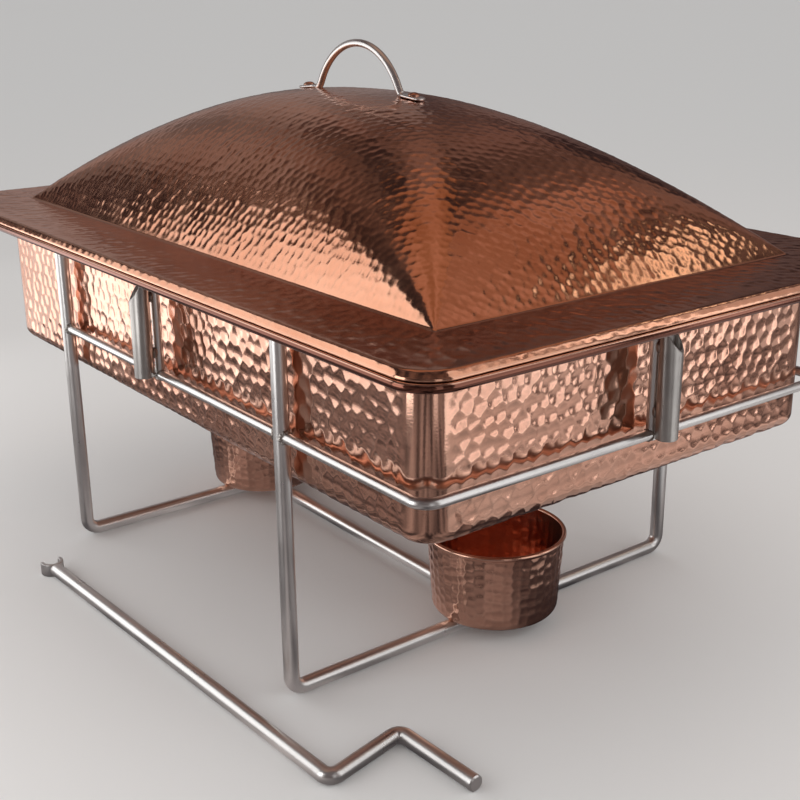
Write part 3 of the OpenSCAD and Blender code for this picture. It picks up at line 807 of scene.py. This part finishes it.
def even_lines(half, steps):
    """Grid lines across the dome, evenly spaced along its curved profile."""
    t, along = profile_table(half)
    lines = np.interp(np.linspace(0, along[-1], steps + 1), along, t)
    return np.concatenate((-lines[:0:-1], lines))


def dome_points(x, y):
    return np.stack((x, y, dome_height(dome_share(x, y))), -1)


def dome_marks(marks, seed):
    """Hammer marks over the dome, evenly spaced along both of its curved profiles."""
    tables = [profile_table(half) for half in DOME_BASE]
    places = staggered(*((-along[-1], along[-1]) for _, along in tables), marks, seed)
    x, y = (np.sign(q) * np.interp(np.abs(q), along, t) for q, (t, along) in zip(places.T, tables))
    return dome_points(x, y)


xs, ys = (even_lines(half, steps) for half, steps in zip(DOME_BASE, DOME_STEPS))
dome = dome_points(*np.meshgrid(xs, ys))
dome_normals = grid_normals(dome, False)
dome_normals *= np.sign(dome_normals[..., 2:])
edge_gap = np.minimum(DOME_BASE[0] - np.abs(dome[..., 0]), DOME_BASE[1] - np.abs(dome[..., 1]))
dome_dents = dents(dome, dome_marks(DOME_MARKS, 11), DOME_MARKS, 12)
dome = pushed(dome, dome_normals, dome_dents * DOME_MARKS.depth * ease(edge_gap, 3 * MM))

rows, columns = dome.shape[:2]
last_row, last_column, mid_row = rows - 1, columns - 1, rows // 2
border = [(i, last_column) for i in range(mid_row, last_row)]
border += [(last_row, j) for j in range(last_column, 0, -1)]
border += [(i, 0) for i in range(last_row, 0, -1)]
border += [(0, j) for j in range(last_column)]
border += [(i, last_column) for i in range(mid_row)]
border_ids = [i * columns + j for i, j in border]
base = dome.reshape(-1, 3)[border_ids]

lip_x, lip_y = lid_hi.x, (lid_hi.y - lid_lo.y) / 2
BRIM_STEPS = (DOME_STEPS[0] - BRIM_ARC_STEPS // 2, DOME_STEPS[1] - BRIM_ARC_STEPS // 2, BRIM_ARC_STEPS)


def lip_loop(out, z):
    return at_height(rounded_rectangle(lip_x + out, lip_y + out, LIP_CORNER_R + out, *BRIM_STEPS), z)


lip_z = lid_lo.z
lip_drop = BRIM_Z - lip_z
brim_edge = lip_loop(-LIP_OUT - 1.6 * MM, BRIM_Z)
brim = np.array([base + (brim_edge - base) * t for t in np.linspace(0, 1, BRIM_LOOPS + 1)[1:]])
slope = [(-LIP_OUT - 0.7 * MM, 0.985)]
slope += [(-LIP_OUT * s, up) for s, up in ((1, 0.92), (0.75, 0.78), (0.5, 0.57), (0.25, 0.36), (0.05, 0.18))]
lip = np.array([lip_loop(out, lip_z + lip_drop * up) for out, up in slope])
skirt = np.concatenate((brim, lip))
skirt_normals = grid_normals(skirt, True)
skirt_normals *= np.sign(skirt_normals[..., 2:])
brim_marks = at_height(staggered((-lip_x, lip_x), (-lip_y, lip_y), BRIM_MARKS, 21), BRIM_Z)
depths = [0] + [BRIM_MARKS.depth] * (len(brim) - 4) + [BRIM_EDGE_DEPTH] * 3 + [LIP_DEPTH] * len(lip)
skirt = pushed(skirt, skirt_normals, dents(skirt, brim_marks, BRIM_MARKS, 22) * np.array(depths)[:, None])
hem = [(0, 0.02), (-0.1 * MM, -0.04), (-0.5 * MM, -0.08), (-0.95 * MM, -0.04), (-SHEET, 0.08)]
hem += [(-SHEET - LIP_OUT * 0.6, 0.45)]
hem_loops = [lip_loop(out, lip_z + lip_drop * up) for out, up in hem]
under_z = BRIM_Z - SHEET
hem_loops += [lip_loop(-SHEET - LIP_OUT - 1 * MM, under_z)]
shape = base[:, :2] / DOME_BASE
for share in np.linspace(1, 0, 19)[:-1]:
    reach = share / loop_reach(shape[:, 0], shape[:, 1], dome_exponent(share))
    ring = shape * (np.array(DOME_BASE) - SHEET / 2) * reach[:, None]
    hem_loops.append(at_height(ring, dome_height(share) - SHEET))
around = len(base)
lid_points = in_set(np.vstack((*dome, *skirt, *hem_loops, [(0, 0, lid_hi.z - SHEET)])))
lid_faces = [
    (i * columns + j, i * columns + j + 1, (i + 1) * columns + j + 1, (i + 1) * columns + j)
    for i in range(last_row) for j in range(last_column)
]
first_loop = rows * columns
lid_faces += [
    (border_ids[k], border_ids[(k + 1) % around], first_loop + (k + 1) % around, first_loop + k)
    for k in range(around)
]
lid_faces += bands(first_loop, len(skirt) + len(hem_loops), around)
lid_faces += fan(len(lid_points) - 1 - around, len(lid_points) - 1, around)
make_piece("lid_shell", lid_points, lid_faces, "lid", LID_COPPER, None)

# ---- lid handle ----

arch_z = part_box("lid_handle")[1].z - HANDLE_ROD_R - HANDLE_R
rivet_x = HANDLE_R * math.sin(math.acos((HANDLE_R - HANDLE_RISE) / HANDLE_R)) + TAB_LENGTH * RIVET_SHARE
rivet_share = rivet_x / DOME_BASE[0]
rivet_z = float(dome_height(rivet_share))
foot_tilt = math.atan(DOME_RISE * DOME_POWER * rivet_share ** (DOME_POWER - 1) / DOME_BASE[0])
foot_out = np.array((math.cos(foot_tilt), 0, -math.sin(foot_tilt)))
foot_up = np.array((math.sin(foot_tilt), 0, math.cos(foot_tilt)))
rivet_spot = np.array((rivet_x, 0, rivet_z))


def bezier(a, b, c, d, steps):
    t = np.linspace(0, 1, steps + 1)[1:, None]
    return a * (1 - t) ** 3 + 3 * b * t * (1 - t) ** 2 + 3 * c * t * t * (1 - t) + d * t**3


def handle_half():
    """A line through half the handle, from its top to its tab's end, with half its width and thickness."""
    turn = np.linspace(0, ARCH_TURN, 42)
    line = [np.array((HANDLE_R * math.sin(a), 0, arch_z + HANDLE_R * math.cos(a))) for a in turn]
    heading = np.array((math.cos(turn[-1]), 0, -math.sin(turn[-1])))
    on_tab = rivet_spot + foot_up * (TAB_THICK / 2 + TAB_GAP)
    round_end = TAB_LENGTH * (1 - RIVET_SHARE) - TAB_WIDTH / 2
    start = on_tab - foot_out * FOOT_SWEEP
    line += list(bezier(line[-1], line[-1] + heading * FOOT_SWEEP, start - foot_out * 4.5 * MM, start, 16))
    thin, tab = np.array((HANDLE_ROD_R, HANDLE_ROD_R)), np.array((TAB_WIDTH, TAB_THICK)) / 2
    sizes = [thin] * len(turn)
    sizes += [thin + (tab - thin) * t for t in np.clip((np.arange(1, 17) / 16 - 0.35) / 0.65, 0, 1) ** 1.5]
    for q in np.linspace(-7.5 * MM, round_end, 8):
        line.append(on_tab + foot_out * q)
        sizes.append(tab)
    for a in np.radians((15, 30, 45, 58, 70, 80, 88)):
        line.append(on_tab + foot_out * (round_end + tab[0] * math.sin(a)))
        sizes.append(tab * (math.cos(a), 0.55 + 0.45 * math.cos(a)))
    return np.array(line), np.array(sizes)


line, sizes = handle_half()
line = np.vstack((line[:0:-1] * (-1, 1, 1), line))
sizes = np.vstack((sizes[:0:-1], sizes))
ahead = unit(np.gradient(line, axis=0))
angles = np.arange(36) * TAU / 36
handle_loops = []
for p, h, (wide, thick) in zip(line, ahead, sizes):
    flat = min(1, max(0, wide / thick - 1))
    power = 2 / (2 + 1.6 * flat)
    circle = ((wide, np.cos(angles)), (thick, np.sin(angles)))
    across, rise = (half * np.sign(t) * np.abs(t) ** power for half, t in circle)
    handle_loops.append(p + np.outer(across, (0, 1, 0)) + np.outer(rise, np.cross(h, (0, 1, 0))))
points = in_set(np.vstack((*handle_loops, line[0], line[-1])))
faces = capped(len(handle_loops), len(angles), len(points) - 2, len(points) - 1)
make_piece("lid_handle", points, faces, "lid", HANDLE_STEEL)


def revolved(profile, steps):
    """Rings of points from a profile of (radius, height), which starts and ends on the axis."""
    turn = np.arange(steps) * TAU / steps
    shell = Shell()
    for r, z in profile[1:-1]:
        shell.add(at_height(r * np.column_stack((np.cos(turn), np.sin(turn))), z))
    low = shell.add((0, 0, profile[0][1]))
    high = shell.add((0, 0, profile[-1][1]))
    shell.faces = capped(len(profile) - 2, steps, low, high)
    return shell


tail = -SHEET - 1.4 * MM
head_z = TAB_THICK + TAB_GAP
rivet_profile = [(0, tail), (RIVET_R + 0.7 * MM, tail), (RIVET_R, tail + 0.8 * MM), (RIVET_R, head_z)]
rivet_profile += [(HEAD_R - HEAD_EDGE, head_z), (HEAD_R, head_z + HEAD_EDGE)]
rivet_profile += [
    (HEAD_R * math.cos(a), head_z + HEAD_EDGE + (HEAD_RISE - HEAD_EDGE) * math.sin(a))
    for a in np.radians((12, 24, 36, 48, 60, 72, 82))
]
rivet_profile += [(0, head_z + HEAD_RISE)]
rivets = []
for side in (-1, 1):
    shell = revolved(rivet_profile, 36)
    local = shell.all_points() @ np.array((foot_out, (0, 1, 0), foot_up))
    shell.points = [in_set((rivet_spot + local) * (side, 1, 1))]
    rivets.append(shell)
rivets = joined(rivets)
make_piece("handle_rivets", rivets.all_points(), rivets.faces, "lid", RIVET_COPPER)

# ---- fuel cups ----


def fuel_cup(name, seed):
    lo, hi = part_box(name)
    floor_z, rim_z = lo.z, hi.z
    bend_z, wall_top_z, roll_z = floor_z + CUP_EDGE_R, rim_z - 2 * CUP_ROLL_R, rim_z - CUP_ROLL_R
    slope = (CUP_TOP_R - CUP_BASE_R) / (rim_z - bend_z)
    turn = np.arange(CUP_SIDES) * TAU / CUP_SIDES

    def outside(z):
        return CUP_BASE_R + (z - bend_z) * slope

    def bend(r, inset, angles):
        return [(CUP_BASE_R - inset - r * (1 - math.cos(a)), bend_z - r * math.sin(a)) for a in angles]

    profile = [(CUP_BASE_R * 0.5, floor_z), (CUP_BASE_R - CUP_EDGE_R - 1 * MM, floor_z)]
    profile += bend(CUP_EDGE_R, 0, np.linspace(math.pi / 2, 0, 8)[:-1])
    outer = slice(len(profile), len(profile) + CUP_WALL_LOOPS[0])
    profile += [(outside(z), z) for z in np.linspace(bend_z, wall_top_z, CUP_WALL_LOOPS[0])]
    profile += arc((CUP_TOP_R, roll_z), CUP_ROLL_R, -75, 190, 14)
    inner = slice(len(profile), len(profile) + CUP_WALL_LOOPS[1])
    profile += [(outside(z) - SHEET, z) for z in np.linspace(wall_top_z, bend_z, CUP_WALL_LOOPS[1])]
    profile += bend(CUP_EDGE_R - SHEET, SHEET, np.linspace(0, math.pi / 2, 7)[1:])
    profile += [(CUP_BASE_R * 0.5, floor_z + SHEET)]
    loops = np.array([at_height(r * np.column_stack((np.cos(turn), np.sin(turn))), z) for r, z in profile])

    rng = np.random.default_rng(seed)
    row = CUP_MARKS.spacing
    places = []
    for k in range(CUP_COLUMNS):
        for z in np.arange(floor_z - rng.uniform(0, 1) * row, rim_z, row):
            a = (k + rng.uniform(-CUP_COLUMN_STRAY, CUP_COLUMN_STRAY)) * TAU / CUP_COLUMNS
            height = z + rng.uniform(-CUP_MARKS.stray, CUP_MARKS.stray) * row + CUP_COLUMN_STEP * (k % 2)
            places.append((outside(height) * math.cos(a), outside(height) * math.sin(a), height))
    for rows, depth in ((outer, CUP_MARKS.depth), (inner, CUP_INSIDE_DEPTH)):
        part = loops[rows]
        depth = depth * ease(rim_z - CUP_BARE - part[..., 2], 3 * MM)
        loops[rows] = pushed(part, unit(part * (1, 1, 0)), dents(part, places, CUP_MARKS, seed + 1) * depth)

    points = np.vstack((*loops, (0, 0, floor_z), (0, 0, floor_z + SHEET)))
    points += ((lo.x + hi.x) / 2, (lo.y + hi.y) / 2, 0)
    faces = capped(len(loops), CUP_SIDES, len(points) - 2, len(points) - 1)
    make_piece(name, points, faces, name + "_body", CUP_COPPER, None)


fuel_cup("fuel_cup_left", 31)
fuel_cup("fuel_cup_right", 41)

# ---- lid holder ----

fork_lo, fork_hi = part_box("lid_holder_fork")
heading = np.array((math.cos(HOLDER_TURN), math.sin(HOLDER_TURN), 0))
sideways = np.array((-heading[1], heading[0], 0))
fork_centre = np.array((fork_hi.x - FORK_R, fork_hi.y - FORK_R, ROD_R))
knee_x, knee_y = HOLDER_LEG + HOLDER_OFFSET * math.cos(HOLDER_BEND), HOLDER_OFFSET * math.sin(HOLDER_BEND)
bends = ((0, 0), (HOLDER_LEG, 0), (knee_x, knee_y), (knee_x + HOLDER_PLUG, knee_y))
holder = rod(
    [fork_centre + heading * (FORK_REACH + x) + sideways * y for x, y in bends],
    [HOLDER_BEND_R] * 2, ROD_R, HOLDER_CHAMFER, start_cut=(fork_centre, (0, 0, 1), FORK_R),
)
make_piece("lid_holder_rod", holder.all_points(), holder.faces, "lid_holder", STEEL)


def fork():
    """A short collar, open on the side away from the rod, with eased edges."""
    half_w, half_h, soft = FORK_WALL / 2, (fork_hi.z - fork_lo.z) / 2, 0.4 * MM
    outline = []
    for sx, sz, first in ((1, 1, 0), (-1, 1, 90), (-1, -1, 180), (1, -1, 270)):
        outline += arc((sx * (half_w - soft), sz * (half_h - soft)), soft, first, first + 90, 3)
    outline = np.array(outline)
    shell = Shell()
    turns = np.linspace(-FORK_OPENING, FORK_OPENING, 49)
    for a in turns:
        out = heading * math.cos(a) + sideways * math.sin(a)
        w, z = outline.T * (0.75 if abs(a) == FORK_OPENING else 1)
        shell.add(fork_centre + np.outer(FORK_R - half_w + w, out) + np.outer(z, (0, 0, 1)))
    a = shell.add(shell.points[0].mean(0))
    b = shell.add(shell.points[len(turns) - 1].mean(0))
    shell.faces = capped(len(turns), len(outline), a, b)
    return shell


collar = fork()
make_piece("lid_holder_fork", collar.all_points(), collar.faces, "lid_holder", STEEL)

# ---- food pan ----

food_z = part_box("food_pan")[0].z
food_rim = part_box("food_pan_rim")[1]
rim_z = food_rim.z
rim_half = (food_rim.x, food_rim.y - MID_Y)


def food_loop(inset, z):
    r = FOOD_CORNER_R - inset
    return at_height(rounded_rectangle(FOOD_BODY[0] - inset, FOOD_BODY[1] - inset, r, *FOOD_STEPS), z)


def food_rim_loop(inset, z):
    r = FOOD_CORNER_R + rim_half[1] - FOOD_BODY[1] - inset
    return at_height(rounded_rectangle(rim_half[0] - inset, rim_half[1] - inset, r, *FOOD_STEPS), z)


def food_edge(inset, first, last):
    """The bend from floor to wall, between two angles in degrees from level."""
    r, z = FOOD_EDGE_R - inset, food_z + FOOD_EDGE_R
    turn = np.radians(np.linspace(first, last, 9))
    return [food_loop(inset + r * (1 - math.cos(a)), z - r * math.sin(a)) for a in turn]


soft, sheet = FOOD_RIM_EASE, FOOD_SHEET
loops = [food_loop(40 * MM, food_z), *food_edge(0, 90, 0), food_loop(0, rim_z - 3 * MM)]
loops += [food_loop(-0.3 * MM, rim_z - 1.6 * MM), food_loop(-1 * MM, rim_z - sheet)]
loops += [food_rim_loop(soft, rim_z - sheet), food_rim_loop(0, rim_z - sheet / 2), food_rim_loop(soft, rim_z)]
loops += [food_loop(-0.6 * MM, rim_z), food_loop(0.5 * MM, rim_z - 0.5 * MM)]
loops += [food_loop(sheet, rim_z - 2 * MM), *food_edge(sheet, 0, 90), food_loop(42 * MM, food_z + sheet)]
points = in_set(np.vstack((*loops, (0, 0, food_z), (0, 0, food_z + sheet))))
faces = capped(len(loops), len(loops[0]), len(points) - 2, len(points) - 1)
make_piece(
    "food_pan", points, faces, "food_pan_body", TRAY_STEEL,
    nodes=["food_pan", "food_pan_rim"],
)

# ---- hidden CAD nodes that keep their own meshes ----

for node, material in (("water_pan_edge_wire", STEEL), ("rivet_washers", RIVET_COPPER)):
    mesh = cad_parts[node].data
    mesh.materials.clear()
    mesh.materials.append(material)

# ---- stage ----

FLOOR_HALF = 40
PALE = (0.80, 0.79, 0.78)
ROOM_LIGHT = (0.7, 0.7, 0.7)
# In reflections, the floor and the room are two tones each, from dark to light, in soft streaks and clouds.
# The floor's tones are a painted reflection: a glow it gives off only to reflected rays.
BLACK = (0.0, 0.0, 0.0)
PAINTED_FLOOR_REFLECTION = ((0.03, 0.025, 0.028), (0.40, 0.35, 0.34))
REFLECTED_ROOM = ((0.03, 0.024, 0.028), (0.19, 0.14, 0.13))
STREAK_AZIMUTH = math.radians(142.6)


def glossy_ray(n):
    return n.add("ShaderNodeLightPath").outputs["Is Glossy Ray"]


floor_mesh = bpy.data.meshes.new("floor")
corners = [(-FLOOR_HALF, -FLOOR_HALF, 0), (FLOOR_HALF, -FLOOR_HALF, 0), (FLOOR_HALF, FLOOR_HALF, 0)]
floor_mesh.from_pydata([*corners, (-FLOOR_HALF, FLOOR_HALF, 0)], [], [(0, 1, 2, 3)])
floor = bpy.data.objects.new("floor", floor_mesh)
bpy.context.scene.collection.objects.link(floor)
floor_paint, n, shader = paint("floor paint")
glossy = glossy_ray(n)
turned = n.add("ShaderNodeVectorRotate", rotation_type="Z_AXIS")
turned.inputs["Angle"].default_value = -STREAK_AZIMUTH
n.link(n.position, turned.inputs["Vector"])
n.position = turned.outputs["Vector"]
# Painted reflection: for reflected rays the floor is black and glows with streaks of two tones, whatever
# light falls on it.
painted_floor_glow = n.ramp(n.noise(1, 3, (3, 10, 1)), [(0.40, PAINTED_FLOOR_REFLECTION[0]), (0.68, PAINTED_FLOOR_REFLECTION[1])])
n.link(n.mix(glossy, PALE, BLACK), shader.inputs["Base Color"])
n.link(painted_floor_glow, shader.inputs["Emission Color"])
n.link(glossy, shader.inputs["Emission Strength"])
shader.inputs["Roughness"].default_value = 0.7
shader.inputs["Specular IOR Level"].default_value = 0.2
floor_mesh.materials.append(floor_paint)

world = bpy.data.worlds.new("studio")
bpy.context.scene.world = world
world.use_nodes = True
n = Nodes(world.node_tree, "Generated")
clouds = n.mix(n.span(n.noise(4, 2), 0, 1, 0.38, 0.64), *REFLECTED_ROOM)
sky = world.node_tree.nodes["Background"]
sky.inputs["Strength"].default_value = 1
n.link(n.mix(glossy_ray(n), ROOM_LIGHT, clouds), sky.inputs["Color"])


def softbox(name, place, aim, size, radiance, tint=(1, 1, 1)):
    """A soft rectangular light at place that faces aim. Cameras don't see it."""
    light = bpy.data.lights.new(name, "AREA")
    light.shape = "RECTANGLE"
    light.size, light.size_y = size
    light.energy = radiance * math.pi * size[0] * size[1]
    light.color = tint
    obj = bpy.data.objects.new(name, light)
    obj.location = place
    obj.rotation_euler = (Vector(aim) - Vector(place)).to_track_quat("-Z", "Y").to_euler()
    obj.visible_camera = False
    bpy.context.scene.collection.objects.link(obj)


softbox("left panel", (-0.554, -0.682, 0.459), (0.172, -0.122, 0.784), (0.64, 1.0), 1.15)
softbox("left low card", (-0.70, -0.33, 0.14), (-0.1, -0.15, 0.3), (0.45, 0.3), 0.78)
softbox("left back card", (-1.05, 0.22, 0.6), (-0.1, -0.05, 0.35), (1.2, 0.9), 0.12)
softbox("front strip", (0.11, -0.67, 0.25), (0.26, -0.14, 0.25), (0.28, 0.46), 1.9)
softbox("right strip", (0.76, -0.27, 0.25), (0.26, -0.14, 0.25), (0.13, 0.46), 0.5)
softbox("right panel near", (0.66, 0.14, 0.42), (0, 0.05, 0.42), (0.3, 0.8), 0.8)
softbox("right panel far", (0.66, 0.475, 0.42), (0, 0.4, 0.42), (0.13, 0.8), 1.1)
softbox("right panel edge", (0.66, 0.78, 0.42), (0, 0.6, 0.42), (0.48, 0.8), 0.36)
softbox("right floor card", (0.52, 0.22, 0.012), (0.52, 0.22, 1), (0.55, 0.36), 0.28)
softbox("back panel", (0.50, 1.05, 1.15), (0.25, 0.05, 0.27), (0.36, 0.12), 1.3, (1, 0.9, 0.72))
softbox("warm ceiling", (-0.25, 0.05, 1.9), (0, 0, 0.3), (1.5, 1.1), 0.24, (1, 0.5, 0.24))
softbox("warm back ceiling", (0.45, 0.95, 1.75), (0.1, 0, 0.3), (1.3, 0.7), 0.25, (1, 0.55, 0.35))

# ---- camera ----

CAMERA_PLACE = Vector((0.6974, -0.4871, 0.4063))
AZIMUTH, ELEVATION, ROLL = (math.radians(a) for a in (52.62, 18.8, -0.49))
LENS = 55.54
SENSOR = 36
back = Vector((
    math.sin(AZIMUTH) * math.cos(ELEVATION), -math.cos(AZIMUTH) * math.cos(ELEVATION), math.sin(ELEVATION)
))
right = (-back).cross(Vector((0, 0, 1))).normalized()
up = right.cross(-back)
turn = Matrix((
    right * math.cos(ROLL) + up * math.sin(ROLL), up * math.cos(ROLL) - right * math.sin(ROLL), back
)).transposed()
camera = bpy.data.cameras.new("camera")
camera.sensor_width = SENSOR
camera.lens = LENS
camera_object = bpy.data.objects.new("camera", camera)
camera_object.matrix_world = Matrix.Translation(CAMERA_PLACE) @ turn.to_4x4()
bpy.context.scene.collection.objects.link(camera_object)
bpy.context.scene.camera = camera_object

view = bpy.context.scene.view_settings
view.view_transform = "Standard"
view.look = "None"
view.exposure = 0
